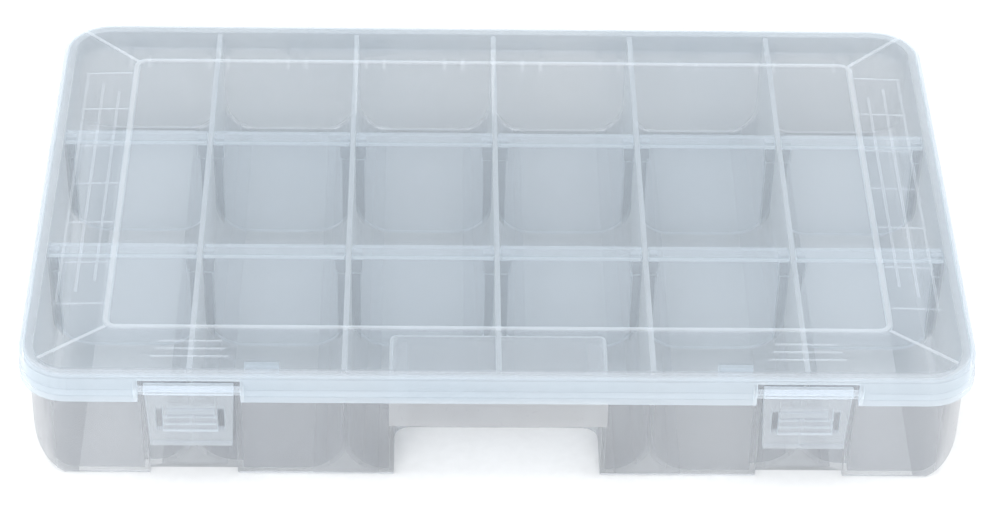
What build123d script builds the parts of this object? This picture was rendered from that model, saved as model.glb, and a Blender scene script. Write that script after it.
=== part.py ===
from build123d import *
from math import atan2, degrees
import os

# Parts organizer: a moulded tray of six rounded troughs, twelve drop-in dividers that part
# them into eighteen cells, a hinged lid and two front latches that hang on the lid.
# Millimetres. Z is up, the latches face -Y, the hinge is at +Y, and the origin lies on the
# table under the middle of the whole closed box.

os.makedirs("parts", exist_ok=True)

# ---------------------------------------------------------------- driving dimensions
column_count = 6
column_pitch = 58.0             # between the centrelines of the fixed walls
wall = 2.0                      # walls and floor of the tray
tray_width = 355.0
tray_depth = 220.6
tray_corner = 16.0              # upright corners of the tray, seen from above
trough_radius = 15.3            # inside, where a trough's floor turns up into its walls
partition_top = 51.5
rim_top = 52.3
rim_reach = 1.1                 # how far the rim and the ledge stand out of the tray
rim_height = 1.8
ledge_top = 42.8
ledge_height = 1.2

divider_row = 36.5              # from the middle of the tray to either row of dividers
divider_thickness = 1.6
divider_gap = 0.3               # between a divider and the walls beside it
divider_floor_gap = 0.2
divider_top = 51.2
divider_flange_width = 6.9
divider_flange_height = 1.6
guide_slot = divider_thickness + 0.5
guide_reach = 3.6
guide_width = 1.6
guide_top = 49.2
guide_head_reach = 4.4
guide_head_width = 2.4
guide_head_height = 7.0

pocket_width = 79.0             # handle pocket, inside
pocket_depth = 27.7
pocket_ceiling = 44.3
pocket_wall = 1.8
pocket_corner = 6.0
block_corner = 2.5              # roundings on the walls around the handle pocket
block_round = 1.4
bottom_round = 1.9              # rounding along the tray's bottom front and back edges
lip_bottom = 27.0               # the finger lip that hangs in front of the pocket
lip_top = 39.9
lip_reach = 1.6

skirt_bottom = 40.4
skirt_gap = 0.5                 # between the tray's rim and the inside of the lid's skirt
skirt = 1.6                     # thickness of the lid's skirt and top
shoulder_top = 54.2
shoulder_round = 2.4
lip_band_top = 43.2
lip_band_reach = 0.5
panel_top = 55.0
panel_width = 300.0
panel_depth = 173.6
panel_shift = 2.6               # the panel sits this far toward the latches
panel_corner = 5.5
bead_width = 2.4
bead_height = 0.8
line_width = 0.9                # the thin raised lines on the lid's slopes
line_height = 0.35
side_line_count = 3             # lines along the sides, each longer than the last
side_line_inset = 5.0
side_line_pitch = 6.8
side_line_half = 61.4
side_line_growth = 6.0
cross_line_count = 7
cross_line_pitch = 24.8
cross_line_length = 19.5
latch_line_count = 3            # lines on the front slope above each latch
latch_line_inset = 6.4
latch_line_pitch = 4.2
latch_line_length = 23.6
latch_line_growth = 2.9
hip_width = 1.4                 # ridges from the panel's corners to the lid's corners
hip_panel_inset = 2.6
hip_corner_inset = 5.2
step_band_top = 46.2
tab_x = 89.0
tab_width = 13.0
tab_height = 9.6
tab_inset = 6.0

latch_x = 2 * column_pitch      # the latches sit on the second and fifth fixed walls' line
latch_width = 33.4
latch_foot_width = 31.0
latch_thickness = 2.0
latch_bottom = 19.5
latch_pivot_z = 47.0
latch_pivot_reach = 0.6         # from the skirt's face out to the latch pivot
latch_bead_radius = 2.3
latch_bore_radius = 1.16
latch_rod_radius = 1.1
notch_width = 38.5
notch_top = 50.4
cheek = 1.4
cheek_round = 1.5
recess_width = 33.8
recess_depth = 4.3
recess_top = 41.2
catch_bottom = 32.6
catch_reach = 2.5
catch_face = 1.0
catch_height = 2.8
catch_width = 18.0
hook_drop = 0.4                 # from the catch's underside down to the hook
hook_bite = 0.6                 # how far the hook reaches in behind the catch's edge
latch_inset = 2.2               # from the pivot back to the latch's rear face
latch_mouth = 1.9
pad_bottom = 26.5
pad_height = 10.5
pad_width = 20.6
pad_reach = 0.6
grip_count = 3
grip_pitch = 3.4
grip_width = 1.1
slot_width = 2.6
pull_height = 1.3
pull_reach = 1.2

hinge_count = 10
hinge_pitch = 33.5
hinge_z = 41.0
hinge_pivot_reach = 2.2         # from the skirt's face out to the hinge axis
hinge_rod_radius = 1.3
clip_bore_radius = 1.36
clip_radius = 2.7
clip_width = 5.4
clip_mouth = 2.2
post_width = 1.6
post_radius = 1.85
post_x = clip_width / 2 + 1.2
post_shelf = 38.6
post_knee = 37.5
post_foot = 32.0

# ---------------------------------------------------------------- derived dimensions
skirt_reach = rim_reach + skirt_gap + skirt
latch_reach = skirt_reach + latch_pivot_reach + latch_bead_radius
hinge_reach = skirt_reach + hinge_pivot_reach + clip_radius
body_y = (latch_reach - hinge_reach) / 2
front = body_y - tray_depth / 2
back = body_y + tray_depth / 2
inner_front = front + wall
inner_back = back - wall
lid_width = tray_width + 2 * skirt_reach
lid_depth = tray_depth + 2 * skirt_reach
lid_front = front - skirt_reach
lid_back = back + skirt_reach
lid_corner = tray_corner + skirt_reach
hook_top = catch_bottom - hook_drop
hook_tip = front + recess_depth - catch_reach + hook_bite
latch_y = lid_front - latch_pivot_reach
hinge_y = lid_back + hinge_pivot_reach
outer_trough_radius = trough_radius + wall
above = rim_top + 10            # any height clear of the tray
below = -1.0                    # any height under the table

partition_xs = [column_pitch * (i - column_count / 2) for i in range(1, column_count)]
side_wall_x = (tray_width - wall) / 2
wall_lines = [-side_wall_x, *partition_xs, side_wall_x]
columns = [((a + b) / 2, b - a - wall) for a, b in zip(wall_lines, wall_lines[1:])]
row_ys = {"front": body_y - divider_row, "back": body_y + divider_row}
latch_xs = {"left": -latch_x, "right": latch_x}
hinge_xs = [hinge_pitch * (i - (hinge_count - 1) / 2) for i in range(hinge_count)]


def side_plane(x):
    """The plane across X at x, its own x running back along +Y and its own y up."""
    return Plane(origin=(x, 0, 0), x_dir=(0, 1, 0), z_dir=(1, 0, 0))


def front_plane(y):
    """The plane facing the front at depth y: extruding from it goes forward."""
    return Plane.XZ.offset(-y)


# ---------------------------------------------------------------- room inside the tray
with BuildPart() as front_blocks:
    with BuildSketch(Plane.XY) as pocket_block:
        with Locations((0, front + (pocket_depth + pocket_wall) / 2)):
            Rectangle(pocket_width + 2 * pocket_wall, pocket_depth + pocket_wall)
        fillet(pocket_block.vertices().group_by(Axis.Y)[-1], block_corner)
    extrude(amount=pocket_ceiling + wall)
    fillet(front_blocks.faces().sort_by(Axis.Z)[-1].edges(), block_round)
    with BuildSketch(Plane.XY):
        with Locations(*[(x, front + (recess_depth + wall) / 2) for x in latch_xs.values()]):
            Rectangle(recess_width + 2 * wall, recess_depth + wall)
    extrude(amount=recess_top + wall)

with BuildPart() as cell_space:
    with BuildSketch(front_plane(inner_back)) as trough_profiles:
        for x_mid, width in columns:
            with Locations((x_mid, (wall + above) / 2)):
                Rectangle(width, above - wall)
        fillet(trough_profiles.vertices().group_by(Axis.Y)[0], trough_radius)
    extrude(amount=tray_depth - 2 * wall)
    with BuildSketch(Plane.XY):
        with Locations((0, body_y)):
            RectangleRounded(tray_width - 2 * wall, tray_depth - 2 * wall, tray_corner - wall)
    extrude(amount=above, mode=Mode.INTERSECT)
    # Room is kept for the walls of the handle pocket and of the latch recesses.
    add(front_blocks.part, mode=Mode.SUBTRACT)
    # Pairs of guide ribs hold the ends of every divider, with a wider head at the top.
    with BuildSketch(Plane.XY):
        for y in row_ys.values():
            rib_y = (guide_slot + guide_width) / 2
            with Locations(*[(x, y + side * rib_y) for x in wall_lines for side in (-1, 1)]):
                Rectangle(wall + 2 * guide_reach, guide_width)
    extrude(amount=guide_top, mode=Mode.SUBTRACT)
    with BuildSketch(Plane.XY.offset(guide_top)):
        for y in row_ys.values():
            head_y = (guide_slot + guide_head_width) / 2
            with Locations(*[(x, y + side * head_y) for x in wall_lines for side in (-1, 1)]):
                Rectangle(wall + 2 * guide_head_reach, guide_head_width)
    extrude(amount=-guide_head_height, mode=Mode.SUBTRACT)

# The troughs round off underneath as well, which leaves a hollow under every fixed wall.
foot_height = 0.4
arc_center_x = outer_trough_radius - wall / 2
cusp_z = outer_trough_radius - (outer_trough_radius**2 - arc_center_x**2) ** 0.5
foot_rise = outer_trough_radius - foot_height
foot_x = arc_center_x - (outer_trough_radius**2 - foot_rise**2) ** 0.5

with BuildPart() as hollow_space:
    with BuildSketch(front_plane(inner_back)):
        with BuildLine():
            Polyline((-foot_x, foot_height), (-foot_x, below), (foot_x, below), (foot_x, foot_height))
            RadiusArc((foot_x, foot_height), (0, cusp_z), outer_trough_radius)
            RadiusArc((0, cusp_z), (-foot_x, foot_height), outer_trough_radius)
        make_face()
    extrude(amount=tray_depth - 2 * wall)

# ---------------------------------------------------------------- tray
with BuildPart() as tray:
    with BuildSketch(front_plane(back)) as body_profile:
        with Locations((0, rim_top / 2)):
            Rectangle(tray_width, rim_top)
        fillet(body_profile.vertices().group_by(Axis.Y)[0], outer_trough_radius)
    extrude(amount=tray_depth)
    with BuildSketch(Plane.XY):
        with Locations((0, body_y)):
            RectangleRounded(tray_width, tray_depth, tray_corner)
    extrude(amount=rim_top, mode=Mode.INTERSECT)
    # A rim around the top and a ledge below it, both inside the lid's skirt.
    for top, height in ((rim_top, rim_height), (ledge_top, ledge_height)):
        with BuildSketch(Plane.XY.offset(top)):
            with Locations((0, body_y)):
                RectangleRounded(
                    tray_width + 2 * rim_reach, tray_depth + 2 * rim_reach, tray_corner + rim_reach
                )
        extrude(amount=-height)
    add(cell_space.part, mode=Mode.SUBTRACT)
    with BuildSketch(Plane.XY.offset(partition_top)):
        with Locations((0, body_y)):
            RectangleRounded(tray_width - 2 * wall, tray_depth - 2 * wall, tray_corner - wall)
    extrude(amount=above, mode=Mode.SUBTRACT)
    with Locations(*[(x, 0, 0) for x in partition_xs]):
        add(hollow_space.part, mode=Mode.SUBTRACT)
    add(front_blocks.part)
    with BuildSketch(side_plane(-tray_width / 2)):
        corners = ((front, 1), (back, -1))
        with Locations(*[(y + side * bottom_round / 2, bottom_round / 2) for y, side in corners]):
            Rectangle(bottom_round, bottom_round)
        with Locations(*[(y + side * bottom_round, bottom_round) for y, side in corners]):
            Circle(bottom_round, mode=Mode.SUBTRACT)
    extrude(amount=tray_width, mode=Mode.SUBTRACT)
    # Handle pocket, open underneath and in front below the finger lip.
    with BuildSketch(Plane.XY) as pocket_plan:
        with Locations((0, (inner_front + front + pocket_depth) / 2)):
            Rectangle(pocket_width, pocket_depth - wall)
        fillet(pocket_plan.vertices().group_by(Axis.Y)[-1], pocket_corner)
    extrude(amount=pocket_ceiling, mode=Mode.SUBTRACT)
    with BuildSketch(front_plane(inner_front)):
        with Locations((0, lip_bottom / 2)):
            Rectangle(pocket_width, lip_bottom)
    extrude(amount=2 * wall, mode=Mode.SUBTRACT)
    with BuildSketch(front_plane(front)):
        with Locations((0, (lip_bottom + lip_top) / 2)):
            Rectangle(pocket_width + 2 * pocket_wall, lip_top - lip_bottom)
    extrude(amount=lip_reach)
    # Latch recesses, each with a catch that the latch's hook comes to rest under.
    with BuildSketch(front_plane(front + recess_depth)):
        with Locations(*[(x, recess_top / 2) for x in latch_xs.values()]):
            Rectangle(recess_width, recess_top)
    extrude(amount=recess_depth + wall, mode=Mode.SUBTRACT)
    for x in latch_xs.values():
        with BuildSketch(side_plane(x)):
            with BuildLine():
                Polyline(
                    (front + recess_depth + wall / 2, catch_bottom),
                    (front + recess_depth - catch_reach, catch_bottom),
                    (front + recess_depth - catch_reach, catch_bottom + catch_face),
                    (front + recess_depth, catch_bottom + catch_height),
                    (front + recess_depth + wall / 2, catch_bottom + catch_height),
                    close=True,
                )
            make_face()
        extrude(amount=catch_width / 2, both=True)
    # Ten hinge rods along the back, each held between two posts.
    for x in hinge_xs:
        for side in (-1, 1):
            with BuildSketch(side_plane(x + side * post_x)):
                with BuildLine():
                    Polyline(
                        (hinge_y + post_radius, hinge_z),
                        (hinge_y + post_radius, post_knee),
                        (back, post_foot),
                        (back - wall / 2, post_foot),
                        (back - wall / 2, post_shelf),
                        (hinge_y - post_radius, post_shelf),
                        (hinge_y - post_radius, hinge_z),
                    )
                    RadiusArc((hinge_y - post_radius, hinge_z), (hinge_y + post_radius, hinge_z), post_radius)
                make_face()
            extrude(amount=post_width / 2, both=True)
        with BuildSketch(side_plane(x)):
            with Locations((hinge_y, hinge_z)):
                Circle(hinge_rod_radius)
        extrude(amount=post_x, both=True)
tray.part.label = "tray"
export_step(tray.part, "parts/tray.step")

# ---------------------------------------------------------------- dividers
# Each one is a plate with its lower corners rounded to the trough and a flange on top.
for row_name, row_y in row_ys.items():
    for number, (x_mid, cell_width) in enumerate(columns, start=1):
        plate_width = cell_width - 2 * divider_gap
        plate_bottom = wall + divider_floor_gap
        with BuildPart() as divider:
            with BuildSketch(front_plane(row_y)) as plate_profile:
                with Locations((x_mid, (plate_bottom + divider_top) / 2)):
                    Rectangle(plate_width, divider_top - plate_bottom)
                fillet(plate_profile.vertices().group_by(Axis.Y)[0], trough_radius)
            extrude(amount=divider_thickness / 2, both=True)
            with BuildSketch(Plane.XY.offset(divider_top)):
                with Locations((x_mid, row_y)):
                    RectangleRounded(plate_width, divider_flange_width, divider_flange_width / 8)
            extrude(amount=-divider_flange_height)
        name = f"divider_{row_name}_{number}"
        divider.part.label = name
        export_step(divider.part, f"parts/{name}.step")

# ---------------------------------------------------------------- lid
inner_width = lid_width - 2 * skirt
inner_depth = lid_depth - 2 * skirt
shoulder_inset = 3.0            # the shoulder's rounding, before the slope begins
slope_width = lid_width - 2 * shoulder_inset
slope_depth = lid_depth - 2 * shoulder_inset
slope_corner = lid_corner - shoulder_inset
panel_y = body_y - panel_shift

with BuildPart() as raised_lines:
    # A skin just proud of the slopes, of which only narrow strips are kept.
    with BuildSketch(Plane.XY.offset(shoulder_top + line_height)):
        with Locations((0, body_y)):
            RectangleRounded(slope_width, slope_depth, slope_corner)
    extrude(amount=-2 * line_height)
    with BuildSketch(Plane.XY.offset(shoulder_top + line_height)):
        with Locations((0, body_y)):
            RectangleRounded(slope_width, slope_depth, slope_corner)
    with BuildSketch(Plane.XY.offset(panel_top + line_height)):
        with Locations((0, panel_y)):
            RectangleRounded(panel_width, panel_depth, panel_corner)
    loft()
    with BuildSketch(Plane.XY.offset(shoulder_top - line_height)):
        for side in (-1, 1):
            for i in range(side_line_count):
                reach = panel_width / 2 + side_line_inset + i * side_line_pitch
                with Locations((side * reach, body_y)):
                    Rectangle(line_width, 2 * (side_line_half + i * side_line_growth))
            cross_x = side * (panel_width / 2 + cross_line_length / 2)
            for i in range(cross_line_count):
                y = body_y + (i - (cross_line_count - 1) / 2) * cross_line_pitch
                with Locations((cross_x, y)):
                    Rectangle(cross_line_length, line_width)
            for i in range(latch_line_count):
                y = panel_y - panel_depth / 2 - latch_line_inset - i * latch_line_pitch
                with Locations((side * latch_x, y)):
                    Rectangle(latch_line_length + i * latch_line_growth, line_width)
            for end in (-1, 1):
                inner = Vector(
                    side * (panel_width / 2 - hip_panel_inset),
                    panel_y + end * (panel_depth / 2 - hip_panel_inset),
                )
                outer = Vector(
                    side * (slope_width / 2 - hip_corner_inset),
                    body_y + end * (slope_depth / 2 - hip_corner_inset),
                )
                hip = outer - inner
                angle = degrees(atan2(hip.Y, hip.X))
                with Locations(Location((inner + outer) / 2, (0, 0, angle))):
                    Rectangle(hip.length, hip_width)
    extrude(amount=2 * shoulder_top, mode=Mode.INTERSECT)

with BuildPart() as lid:
    with BuildSketch(Plane.XY.offset(skirt_bottom)):
        with Locations((0, body_y)):
            RectangleRounded(lid_width, lid_depth, lid_corner)
    extrude(amount=shoulder_top - skirt_bottom)
    fillet(lid.faces().sort_by(Axis.Z)[-1].edges(), shoulder_round)
    # Shallow slopes rise to the flat panel in the middle.
    with BuildSketch(Plane.XY.offset(shoulder_top)):
        with Locations((0, body_y)):
            RectangleRounded(slope_width, slope_depth, slope_corner)
    with BuildSketch(Plane.XY.offset(panel_top)):
        with Locations((0, panel_y)):
            RectangleRounded(panel_width, panel_depth, panel_corner)
    loft()
    # A rounded bead frames the panel.
    with BuildSketch(Plane.XY.offset(panel_top)):
        with Locations((0, panel_y)):
            RectangleRounded(panel_width, panel_depth, panel_corner)
            RectangleRounded(
                panel_width - 2 * bead_width,
                panel_depth - 2 * bead_width,
                panel_corner - bead_width,
                mode=Mode.SUBTRACT,
            )
    extrude(amount=bead_height)
    fillet(lid.faces().sort_by(Axis.Z)[-1].edges(), bead_height / 2)
    add(raised_lines.part)
    # Two steps widen the skirt toward its lower edge, except along the hinge.
    for top, reach in ((lip_band_top, lip_band_reach), (step_band_top, lip_band_reach / 2)):
        with BuildSketch(Plane.XY.offset(skirt_bottom)):
            with Locations((0, body_y - (reach + skirt / 2) / 2)):
                RectangleRounded(lid_width + 2 * reach, lid_depth + reach - skirt / 2, lid_corner)
        extrude(amount=top - skirt_bottom)
    with BuildSketch(Plane.XY.offset(skirt_bottom)):
        with Locations((0, body_y)):
            RectangleRounded(inner_width, inner_depth, lid_corner - skirt)
    extrude(amount=shoulder_top - skirt - skirt_bottom, mode=Mode.SUBTRACT)
    # Tabs under the top keep the front of the lid inside the tray's front wall.
    with BuildSketch(Plane.XY.offset(shoulder_top - skirt / 2)):
        with Locations(*[(side * tab_x, front + tab_inset) for side in (-1, 1)]):
            Rectangle(tab_width, skirt)
    extrude(amount=-tab_height)
    # Each latch hangs on a rod across a notch in the skirt, between two cheeks.
    with BuildSketch(front_plane(lid_front + 2 * skirt)):
        with Locations(*[(x, (skirt_bottom + notch_top) / 2) for x in latch_xs.values()]):
            Rectangle(notch_width, notch_top - skirt_bottom)
    extrude(amount=4 * skirt, mode=Mode.SUBTRACT)
    for x in latch_xs.values():
        for side in (-1, 1):
            with BuildSketch(side_plane(x + side * (notch_width + cheek) / 2)):
                with BuildLine():
                    Polyline(
                        (lid_front + skirt, skirt_bottom),
                        (lid_front + skirt, notch_top),
                        (lid_front, notch_top),
                        (latch_y - cheek_round, latch_pivot_z + cheek_round),
                        (latch_y - cheek_round, latch_pivot_z - cheek_round),
                        (lid_front - lip_band_reach, skirt_bottom),
                        close=True,
                    )
                make_face()
            extrude(amount=cheek / 2, both=True)
        with BuildSketch(side_plane(x)):
            with Locations((latch_y, latch_pivot_z)):
                Circle(latch_rod_radius)
        extrude(amount=(notch_width + cheek) / 2, both=True)
    # Snap clips along the back grip the tray's hinge rods, their mouths facing down.
    for x in hinge_xs:
        with BuildSketch(side_plane(x)):
            with Locations((hinge_y, hinge_z)):
                Circle(clip_radius)
            with Locations(((lid_back + hinge_y) / 2 - skirt / 2, hinge_z + clip_radius / 2)):
                Rectangle(hinge_y - lid_back + skirt, clip_radius)
        extrude(amount=clip_width / 2, both=True)
        with BuildSketch(side_plane(x)):
            with Locations((hinge_y, hinge_z)):
                Circle(clip_bore_radius)
            with Locations((hinge_y, hinge_z - clip_radius)):
                Rectangle(clip_mouth, 2 * clip_radius)
        extrude(amount=clip_width / 2, both=True, mode=Mode.SUBTRACT)
lid.part.label = "lid"
export_step(lid.part, "parts/lid.step")

# ---------------------------------------------------------------- latches
latch_back = latch_y + latch_inset
latch_face = latch_back - latch_thickness
for side_name, x_mid in latch_xs.items():
    with BuildPart() as latch:
        with BuildSketch(side_plane(x_mid)):
            with Locations((latch_y, latch_pivot_z)):
                Circle(latch_bead_radius)
        extrude(amount=latch_width / 2, both=True)
        with BuildSketch(front_plane(latch_back)):
            with BuildLine():
                Polyline(
                    (x_mid - latch_width / 2, latch_pivot_z - latch_bore_radius),
                    (x_mid + latch_width / 2, latch_pivot_z - latch_bore_radius),
                    (x_mid + latch_foot_width / 2, latch_bottom),
                    (x_mid - latch_foot_width / 2, latch_bottom),
                    close=True,
                )
            make_face()
        extrude(amount=latch_thickness)
        # Finger pad with grip ridges, a slot on either side of it and a pull lip below.
        with BuildSketch(front_plane(latch_face)):
            with Locations((x_mid, pad_bottom + pad_height / 2)):
                Rectangle(pad_width, pad_height)
        extrude(amount=pad_reach)
        with BuildSketch(front_plane(latch_face - pad_reach)):
            for i in range(grip_count):
                with Locations((x_mid, pad_bottom + grip_width / 2 + i * grip_pitch)):
                    Rectangle(pad_width, grip_width)
        extrude(amount=pad_reach)
        with BuildSketch(front_plane(latch_back)):
            slot_x = (pad_width + slot_width) / 2
            with Locations(*[(x_mid + side * slot_x, pad_bottom + pad_height / 2) for side in (-1, 1)]):
                Rectangle(slot_width, pad_height)
        extrude(amount=latch_thickness, mode=Mode.SUBTRACT)
        with BuildSketch(front_plane(latch_face)):
            with Locations((x_mid, latch_bottom + pull_height / 2)):
                Rectangle(latch_foot_width, pull_height)
        extrude(amount=pull_reach)
        # Hook behind the pad, which rests under the tray's catch.
        with BuildSketch(side_plane(x_mid)):
            with BuildLine():
                Polyline(
                    (latch_back - latch_thickness / 2, hook_top),
                    (hook_tip, hook_top),
                    (hook_tip, hook_top - catch_face),
                    (latch_back, hook_top - catch_height),
                    (latch_back - latch_thickness / 2, hook_top - catch_height),
                    close=True,
                )
            make_face()
        extrude(amount=catch_width / 2, both=True)
        # The bead is a snap clip: a bore for the rod, with a mouth toward the lid.
        with BuildSketch(side_plane(x_mid)):
            with Locations((latch_y, latch_pivot_z)):
                Circle(latch_bore_radius)
            with Locations((latch_y + latch_bead_radius, latch_pivot_z)):
                Rectangle(2 * latch_bead_radius, latch_mouth)
        extrude(amount=latch_width / 2, both=True, mode=Mode.SUBTRACT)
    name = f"latch_{side_name}"
    latch.part.label = name
    export_step(latch.part, f"parts/{name}.step")
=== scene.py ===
import bpy
import math
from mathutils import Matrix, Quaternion, Vector

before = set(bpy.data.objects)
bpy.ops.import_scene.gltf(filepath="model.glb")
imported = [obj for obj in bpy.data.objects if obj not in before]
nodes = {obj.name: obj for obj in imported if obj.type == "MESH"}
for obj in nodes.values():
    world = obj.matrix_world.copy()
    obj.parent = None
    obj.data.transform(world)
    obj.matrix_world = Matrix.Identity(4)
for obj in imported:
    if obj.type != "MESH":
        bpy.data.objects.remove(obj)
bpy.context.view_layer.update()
MM = 0.001


# ---------------------------------------------------------------- node helpers
NOISE_ROUGHNESS = 0.55
RAMP_START, RAMP_END = 0.3, 0.7     # the noise values that get a ramp's first and last colour


class Tree:
    """A material's node tree, with one short call for each kind of node."""

    def __init__(self, name):
        self.material = bpy.data.materials.new(name)
        self.material.use_nodes = True
        self.nodes = self.material.node_tree.nodes
        self.links = self.material.node_tree.links
        self.nodes.clear()
        self.output = self.nodes.new("ShaderNodeOutputMaterial")
        self.place = self.nodes.new("ShaderNodeTexCoord").outputs["Object"]

    def put(self, value, socket):
        """Links an output to a socket, or sets the socket to a plain value."""
        if isinstance(value, bpy.types.NodeSocket):
            self.links.new(value, socket)
        else:
            socket.default_value = value

    def math(self, operation, a, b):
        node = self.nodes.new("ShaderNodeMath")
        node.operation = operation
        self.put(a, node.inputs[0])
        self.put(b, node.inputs[1])
        return node.outputs[0]

    def vector_math(self, operation, a, b=None, output="Vector"):
        node = self.nodes.new("ShaderNodeVectorMath")
        node.operation = operation
        self.put(a, node.inputs[0])
        if b is not None:
            self.put(b, node.inputs[1])
        return node.outputs[output]

    def noise(self, size, detail, stretch=(1.0, 1.0, 1.0)):
        """Noise from 0 to 1 whose blobs are about size metres wide."""
        mapping = self.nodes.new("ShaderNodeMapping")
        mapping.inputs["Scale"].default_value = stretch
        self.links.new(self.place, mapping.inputs["Vector"])
        node = self.nodes.new("ShaderNodeTexNoise")
        self.links.new(mapping.outputs["Vector"], node.inputs["Vector"])
        node.inputs["Scale"].default_value = 1.0 / size
        node.inputs["Detail"].default_value = detail
        node.inputs["Roughness"].default_value = NOISE_ROUGHNESS
        return node.outputs["Fac"]

    def remap(self, value, low, high, start=0.0, end=1.0):
        """value from start..end to low..high."""
        node = self.nodes.new("ShaderNodeMapRange")
        self.links.new(value, node.inputs["Value"])
        node.inputs["From Min"].default_value = start
        node.inputs["From Max"].default_value = end
        node.inputs["To Min"].default_value = low
        node.inputs["To Max"].default_value = high
        return node.outputs["Result"]

    def ramp(self, value, first, last):
        node = self.nodes.new("ShaderNodeValToRGB")
        self.links.new(value, node.inputs["Fac"])
        ends = ((RAMP_START, first), (RAMP_END, last))
        for element, (position, color) in zip(node.color_ramp.elements, ends):
            element.position, element.color = position, (*color, 1.0)
        return node.outputs["Color"]

    def bump(self, height, strength, distance):
        node = self.nodes.new("ShaderNodeBump")
        node.inputs["Strength"].default_value = strength
        node.inputs["Distance"].default_value = distance
        self.links.new(height, node.inputs["Height"])
        return node.outputs["Normal"]


# ---------------------------------------------------------------- materials
# A rounded rectangle in plan that shares the tray's back and sides and runs 4 mm past its front.
SHELL_CORNER = 16.0 * MM
SHELL_CENTER = (0.0, -3.0 * MM, 0.0)
SHELL_CORE = (177.5 * MM - SHELL_CORNER, 112.3 * MM - SHELL_CORNER, 1.0)
SHELL_INNER, SHELL_OUTER = 3.6 * MM, 2.8 * MM       # the mask rises from 0 to 1 between these depths
SKIRT_TOP, SKIRT_FULL = 52.3 * MM, 51.0 * MM        # heights where the lid's mask is 0 and is 1


def tray_shell(tree):
    """1 on the tray's back, sides and corners, and 0 further in.

    The box is one plastic. These walls are only made milkier to bring their tone nearer the real one.
    """
    offset = tree.vector_math("SUBTRACT", tree.place, SHELL_CENTER)
    distance = tree.vector_math("ABSOLUTE", offset)
    beyond = tree.vector_math("SUBTRACT", distance, SHELL_CORE)
    outside = tree.vector_math("MAXIMUM", beyond, (0.0, 0.0, 0.0))
    reach = tree.vector_math("LENGTH", outside, output="Value")
    return tree.remap(reach, 0.0, 1.0, SHELL_CORNER - SHELL_INNER, SHELL_CORNER - SHELL_OUTER)


def lid_skirt(tree):
    """1 on the lid's skirt and shoulder, and 0 on its top. It is milkier for its tone only."""
    split = tree.nodes.new("ShaderNodeSeparateXYZ")
    tree.links.new(tree.place, split.inputs["Vector"])
    return tree.remap(split.outputs["Z"], 0.0, 1.0, SKIRT_TOP, SKIRT_FULL)


STEEPEST_COSINE = 0.15          # a look more slanted than this counts as this
FLOW_SIZE, FLOW_STRETCH = 0.07, (1.0, 0.45, 1.0)    # broad drift of the tone
FINE_SIZE = 0.0016              # fine grain of the gloss
CLOUD_SPREAD = 0.12             # share by which the drift changes the cloud, either way
GLOSS_SPREAD = 0.15             # share by which the grain changes the roughness, either way
WHITENING = 1.5                 # how late the tone whitens as the look slants
PLASTIC_IOR = 1.49
GRAIN_STRENGTH, GRAIN_HEIGHT = 0.12, 0.03 * MM
GLOW_SHARE = 0.4                # share of the body's light that comes through from behind


def milky_plastic(name, dim, bright, cloud, roughness, tint, slant_tone, mask=None, mask_cloud=0.0):
    """Natural polypropylene: see-through when looked at squarely, milky when looked at along the wall.

    It is all on the surface, with nothing inside the solid. cloud is the share of what lies behind one
    face that the face hides, and tint is the colour it lets through of the rest. mask_cloud is the
    further share hidden where mask is 1.
    """
    tree = Tree(name)
    flow = tree.noise(FLOW_SIZE, detail=1.0, stretch=FLOW_STRETCH)
    fine = tree.noise(FINE_SIZE, detail=0.0)

    # A slanted look passes through more plastic, by one over the cosine of its angle.
    facing = tree.nodes.new("ShaderNodeLayerWeight")
    facing.inputs["Blend"].default_value = 0.5
    cosine = tree.math("SUBTRACT", 1.0, facing.outputs["Facing"])
    cosine = tree.math("MAXIMUM", cosine, STEEPEST_COSINE)
    squarely = tree.remap(
        flow, 1.0 - cloud * (1.0 + CLOUD_SPREAD), 1.0 - cloud * (1.0 - CLOUD_SPREAD)
    )
    if mask:
        squarely = tree.math("MULTIPLY", squarely, tree.remap(mask(tree), 1.0, 1.0 - mask_cloud))
    clear = tree.math("POWER", squarely, tree.math("DIVIDE", 1.0, cosine))

    # The longer the look through the wall, the whiter it is.
    tone = tree.nodes.new("ShaderNodeMix")
    tone.data_type = "RGBA"
    tree.links.new(tree.math("POWER", facing.outputs["Facing"], WHITENING), tone.inputs["Factor"])
    tree.links.new(tree.ramp(flow, dim, bright), tone.inputs["A"])
    tone.inputs["B"].default_value = (*slant_tone, 1.0)
    tone = tone.outputs["Result"]
    skin = tree.nodes.new("ShaderNodeBsdfPrincipled")
    tree.links.new(tone, skin.inputs["Base Color"])
    gloss = tree.remap(fine, roughness * (1.0 - GLOSS_SPREAD), roughness * (1.0 + GLOSS_SPREAD))
    tree.links.new(gloss, skin.inputs["Roughness"])
    skin.inputs["IOR"].default_value = PLASTIC_IOR
    tree.links.new(tree.bump(fine, GRAIN_STRENGTH, GRAIN_HEIGHT), skin.inputs["Normal"])

    glow = tree.nodes.new("ShaderNodeBsdfTranslucent")
    tree.links.new(tone, glow.inputs["Color"])
    body = tree.nodes.new("ShaderNodeMixShader")
    body.inputs["Fac"].default_value = GLOW_SHARE
    tree.links.new(skin.outputs["BSDF"], body.inputs[1])
    tree.links.new(glow.outputs["BSDF"], body.inputs[2])

    through = tree.nodes.new("ShaderNodeBsdfTransparent")
    through.inputs["Color"].default_value = (*tint, 1.0)
    surface = tree.nodes.new("ShaderNodeMixShader")
    tree.links.new(clear, surface.inputs["Fac"])
    tree.links.new(body.outputs["Shader"], surface.inputs[1])
    tree.links.new(through.outputs["BSDF"], surface.inputs[2])
    tree.links.new(surface.outputs["Shader"], tree.output.inputs["Surface"])
    return tree.material


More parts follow.
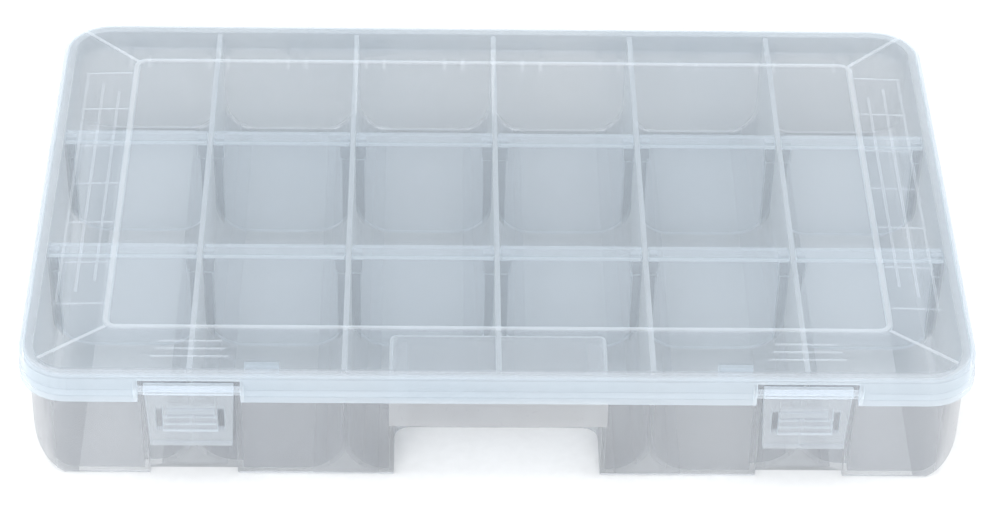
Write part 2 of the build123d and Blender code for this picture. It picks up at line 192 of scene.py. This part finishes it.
FIBRE_SIZE = 0.004
FIBRE_STRENGTH, FIBRE_HEIGHT = 0.2, 0.0001
PAPER_DARK, PAPER_LIGHT = (0.76, 0.76, 0.76), (0.79, 0.79, 0.79)
PAPER_ROUGHNESS, PAPER_SPECULAR = 0.9, 0.1


def floor_paper():
    """Matt white studio paper, with a faint fibre."""
    tree = Tree("floor_paper")
    fibre = tree.noise(FIBRE_SIZE, detail=4.0)
    shade = tree.ramp(fibre, PAPER_DARK, PAPER_LIGHT)
    paper = tree.nodes.new("ShaderNodeBsdfPrincipled")
    tree.links.new(shade, paper.inputs["Base Color"])
    paper.inputs["Roughness"].default_value = PAPER_ROUGHNESS
    paper.inputs["Specular IOR Level"].default_value = PAPER_SPECULAR
    tree.links.new(tree.bump(fibre, FIBRE_STRENGTH, FIBRE_HEIGHT), paper.inputs["Normal"])
    tree.links.new(paper.outputs["BSDF"], tree.output.inputs["Surface"])
    return tree.material


FLAT_BEND = math.radians(1.0)       # surfaces join across a bend below this
SHARP_BEND = math.radians(30.0)     # and never across one above this
LOOSE_BEND = 6.0 * MM               # in between, only where the bend's radius is larger than this
SAME_POINT = 6                      # decimals of a metre to which corners are matched
SHORTEST_SIDE = 0.01 * MM


def strip_faces(mesh, widest):
    """The faces that belong to strips narrower than widest: wall tops, beads, rims, raised lines."""
    corner = {}
    ids = [
        corner.setdefault(tuple(round(c, SAME_POINT) for c in v.co), len(corner))
        for v in mesh.vertices
    ]
    sides = {}
    for face in mesh.polygons:
        loop = list(face.vertices)
        for a, b in zip(loop, loop[1:] + loop[:1]):
            length = (mesh.vertices[a].co - mesh.vertices[b].co).length
            sides.setdefault(frozenset((ids[a], ids[b])), (length, []))[1].append(face.index)

    group = list(range(len(mesh.polygons)))

    def root(i):
        while group[i] != i:
            group[i] = group[group[i]]
            i = group[i]
        return i

    faces = mesh.polygons
    for length, shared in sides.values():
        for other in shared[1:]:
            cosine = faces[shared[0]].normal.dot(faces[other].normal)
            bend = math.acos(max(-1.0, min(1.0, cosine)))
            smaller = min(faces[shared[0]].area, faces[other].area)
            height = 2.0 * smaller / max(length, SHORTEST_SIDE)
            if bend < FLAT_BEND or (bend < SHARP_BEND and height > LOOSE_BEND * bend):
                group[root(other)] = root(shared[0])

    area, outline = {}, {}
    for face in faces:
        area[root(face.index)] = area.get(root(face.index), 0.0) + face.area
    for length, shared in sides.values():
        roots = {root(i) for i in shared}
        if len(roots) > 1:
            for r in roots:
                outline[r] = outline.get(r, 0.0) + length
    thin = {r for r in area if 2.0 * area[r] < widest * outline.get(r, 0.0)}
    return [face for face in faces if root(face.index) in thin]


def assign(node_names, material, *strip_highlights):
    """Gives nodes their plastic, and gives strips narrower than a width the lighter material beside
    it, a painted highlight.
    """
    for name in node_names:
        mesh = nodes[name].data
        mesh.materials.clear()
        mesh.materials.append(material)
        for face in mesh.polygons:
            face.material_index = 0
        for index, (highlight, widest) in enumerate(strip_highlights, start=1):
            mesh.materials.append(highlight)
            for face in strip_faces(mesh, widest):
                face.material_index = index


# The tone each part's plastic takes where it is looked at along the wall. The box is one plastic; the
# tray's greyer tone is painted shade.
TRAY_SLANT = (0.72, 0.735, 0.755)
DIVIDER_SLANT = (0.76, 0.815, 0.86)
LID_SLANT = (0.78, 0.855, 0.915)
LATCH_SLANT = (0.74, 0.80, 0.85)
# The widest strips that get an edge's or a line's painted highlight.
TRAY_STRIP, DIVIDER_STRIP, LID_STRIP = 2.3 * MM, 2.0 * MM, 2.5 * MM
LID_LINE_STRIP, LATCH_STRIP = 1.0 * MM, 1.2 * MM

# The tray's dark grey, well below the lid's tone, is painted shade for the dim inside of the closed
# box.
tray_plastic = milky_plastic(
    "tray_plastic", (0.46, 0.467, 0.485), (0.52, 0.522, 0.53), cloud=0.20, roughness=0.30,
    tint=(0.91, 0.92, 0.93), slant_tone=TRAY_SLANT, mask=tray_shell, mask_cloud=0.36,
)
# A lighter, milkier copy of the tray's plastic for its narrow strips: a painted highlight along wall
# tops and rims.
tray_edge_highlight = milky_plastic(
    "tray_edge_highlight", (0.78, 0.815, 0.845), (0.84, 0.865, 0.89), cloud=0.25, roughness=0.30,
    tint=(0.97, 0.98, 0.99), slant_tone=TRAY_SLANT,
)
# The dividers' tone, lighter than the tray's, is painted light from overhead, which falls on their
# upward flanges.
divider_plastic = milky_plastic(
    "divider_plastic", (0.62, 0.66, 0.70), (0.68, 0.72, 0.75), cloud=0.17, roughness=0.32,
    tint=(0.96, 0.97, 0.98), slant_tone=DIVIDER_SLANT,
)
# A lighter copy of the dividers' plastic for their narrow strips: a painted highlight along their
# edges.
divider_edge_highlight = milky_plastic(
    "divider_edge_highlight", (0.80, 0.845, 0.88), (0.86, 0.895, 0.92), cloud=0.38, roughness=0.32,
    tint=(0.98, 0.99, 1.0), slant_tone=DIVIDER_SLANT,
)
lid_plastic = milky_plastic(
    "lid_plastic", (0.65, 0.73, 0.795), (0.71, 0.77, 0.82), cloud=0.105, roughness=0.22,
    tint=(0.95, 0.957, 0.962), slant_tone=LID_SLANT, mask=lid_skirt, mask_cloud=0.22,
)
# A lighter copy of the lid's plastic for its finest lines and the latches' rims: a painted highlight.
lid_line_highlight = milky_plastic(
    "lid_line_highlight", (0.82, 0.87, 0.92), (0.86, 0.90, 0.94), cloud=0.17, roughness=0.22,
    tint=(0.97, 0.98, 0.99), slant_tone=LID_SLANT,
)
# A lighter copy of the lid's plastic for its beads, shoulder and rims: a painted highlight.
lid_edge_highlight = milky_plastic(
    "lid_edge_highlight", (0.86, 0.91, 0.95), (0.89, 0.93, 0.96), cloud=0.21, roughness=0.20,
    tint=(0.98, 0.99, 1.0), slant_tone=LID_SLANT,
)
latch_plastic = milky_plastic(
    "latch_plastic", (0.68, 0.72, 0.75), (0.73, 0.76, 0.79), cloud=0.22, roughness=0.25,
    tint=(0.93, 0.935, 0.94), slant_tone=LATCH_SLANT,
)

dividers = sorted(name for name in nodes if name.startswith("divider_"))
latches = ["latch_left", "latch_right"]
assign(["tray"], tray_plastic, (tray_edge_highlight, TRAY_STRIP))
assign(dividers, divider_plastic, (divider_edge_highlight, DIVIDER_STRIP))
assign(["lid"], lid_plastic, (lid_edge_highlight, LID_STRIP), (lid_line_highlight, LID_LINE_STRIP))
assign(latches, latch_plastic, (lid_line_highlight, LATCH_STRIP))


# ---------------------------------------------------------------- floor and light
FLOOR_SIZE = 12.0
SKY_COLOR, SKY_STRENGTH = (0.97, 0.985, 1.0, 1.0), 1.05


def flat_square(name, size):
    mesh = bpy.data.meshes.new(name)
    half = size / 2
    corners = [(-half, -half, 0), (half, -half, 0), (half, half, 0), (-half, half, 0)]
    mesh.from_pydata(corners, [], [(0, 1, 2, 3)])
    square = bpy.data.objects.new(name, mesh)
    bpy.context.scene.collection.objects.link(square)
    return square


floor = flat_square("floor", FLOOR_SIZE)
floor.data.materials.append(floor_paper())

scene = bpy.context.scene
world = bpy.data.worlds.new("studio")
scene.world = world
world.use_nodes = True
sky = world.node_tree.nodes["Background"]
sky.inputs["Color"].default_value = SKY_COLOR
sky.inputs["Strength"].default_value = SKY_STRENGTH


def softbox(name, place, size, power):
    """A rectangular light that faces the middle of the floor."""
    data = bpy.data.lights.new(name, "AREA")
    data.shape = "RECTANGLE"
    data.size, data.size_y = size
    data.energy = power
    lamp = bpy.data.objects.new(name, data)
    scene.collection.objects.link(lamp)
    lamp.location = place
    lamp.rotation_mode = "QUATERNION"
    lamp.rotation_quaternion = (-Vector(place)).to_track_quat("-Z", "Y")


softbox("overhead", place=(0.0, 0.3, 2.2), size=(2.4, 1.6), power=40.0)
softbox("front", place=(-0.3, -2.2, 1.1), size=(2.2, 1.0), power=42.0)


# ---------------------------------------------------------------- camera
camera_place = (-0.0258, -1.0284, 0.8574)
camera_azimuth = 1.564          # degrees to the right of straight back
camera_pitch = 39.3             # degrees down
camera_roll = 1.38              # degrees about the line of sight
camera_lens = 117.5             # mm
camera_sensor = 36.0            # mm
camera_clip = (0.05, 50.0)

lens = bpy.data.cameras.new("camera")
lens.sensor_width = camera_sensor
lens.lens = camera_lens
lens.clip_start, lens.clip_end = camera_clip
camera = bpy.data.objects.new("camera", lens)
scene.collection.objects.link(camera)
azimuth, pitch = math.radians(camera_azimuth), math.radians(camera_pitch)
look = Vector((
    math.sin(azimuth) * math.cos(pitch),
    math.cos(azimuth) * math.cos(pitch),
    -math.sin(pitch),
))
camera.location = camera_place
camera.rotation_mode = "QUATERNION"
camera.rotation_quaternion = (
    look.to_track_quat("-Z", "Y") @ Quaternion((0, 0, 1), math.radians(camera_roll))
)
scene.camera = camera

WALLS_SEEN_THROUGH = 32         # light reaches the eye through many thin walls, one behind another
LIGHT_BOUNCES = 5
scene.view_settings.view_transform = "Standard"
scene.cycles.transparent_max_bounces = WALLS_SEEN_THROUGH
scene.cycles.max_bounces = LIGHT_BOUNCES
scene.cycles.use_denoising = True
